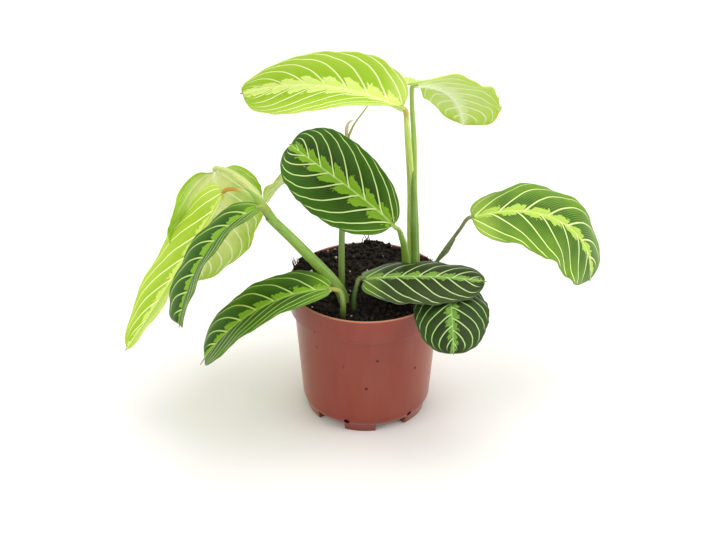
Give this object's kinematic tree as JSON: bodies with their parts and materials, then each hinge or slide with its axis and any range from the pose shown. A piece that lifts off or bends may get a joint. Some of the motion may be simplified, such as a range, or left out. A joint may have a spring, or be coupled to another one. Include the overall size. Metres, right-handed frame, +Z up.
{
  "type": "potted prayer plant",
  "caption": "Prayer plant with broad waved, pale-veined leaves on arching stems, rooted in soil in a round plastic nursery pot with a collar and low feet.",
  "frame": {"origin": "on the pot's axis, in the plane that its feet stand on", "axes": "+Z up, -Y towards the front of the plant as pictured, +X to its right"},
  "size_m": [0.3593, 0.199, 0.2928],
  "materials": {
    "pot_plastic": "satin terracotta-coloured plastic, a little dusty",
    "soil": "matt moist peat with bits of perlite",
    "stem_green": "satin fresh green",
    "stem_pale": "satin pale grey-green",
    "stem_dark": "satin dark green",
    "leaf_lime": "satin lime green with pale veins",
    "leaf_pale": "satin pale grey-green underside with light veins",
    "leaf_green": "satin mid green with pale veins",
    "leaf_dark": "satin dark green with a lime band and pale veins"
  },
  "bodies": {
    "root": {"pot": "pot_plastic", "soil": "soil", "stem_left": "stem_green", "stem_middle": "stem_pale", "stem_right": "stem_green", "stem_centre": "stem_green", "stem_far_right": "stem_dark", "stem_front_centre": "stem_dark", "stem_front_right": "stem_dark", "stem_front_left": "stem_green", "leaf_top_left": "leaf_lime", "leaf_top_right": "leaf_pale", "leaf_centre": "leaf_dark", "leaf_right": "leaf_green", "leaf_front_centre": "leaf_dark", "leaf_front_right": "leaf_dark", "leaf_front_left": "leaf_dark", "leaf_far_left": "leaf_lime", "leaf_left_back": "leaf_pale", "leaf_left_front": "leaf_dark", "leaf_behind": "leaf_pale"}
  },
  "joints": []
}
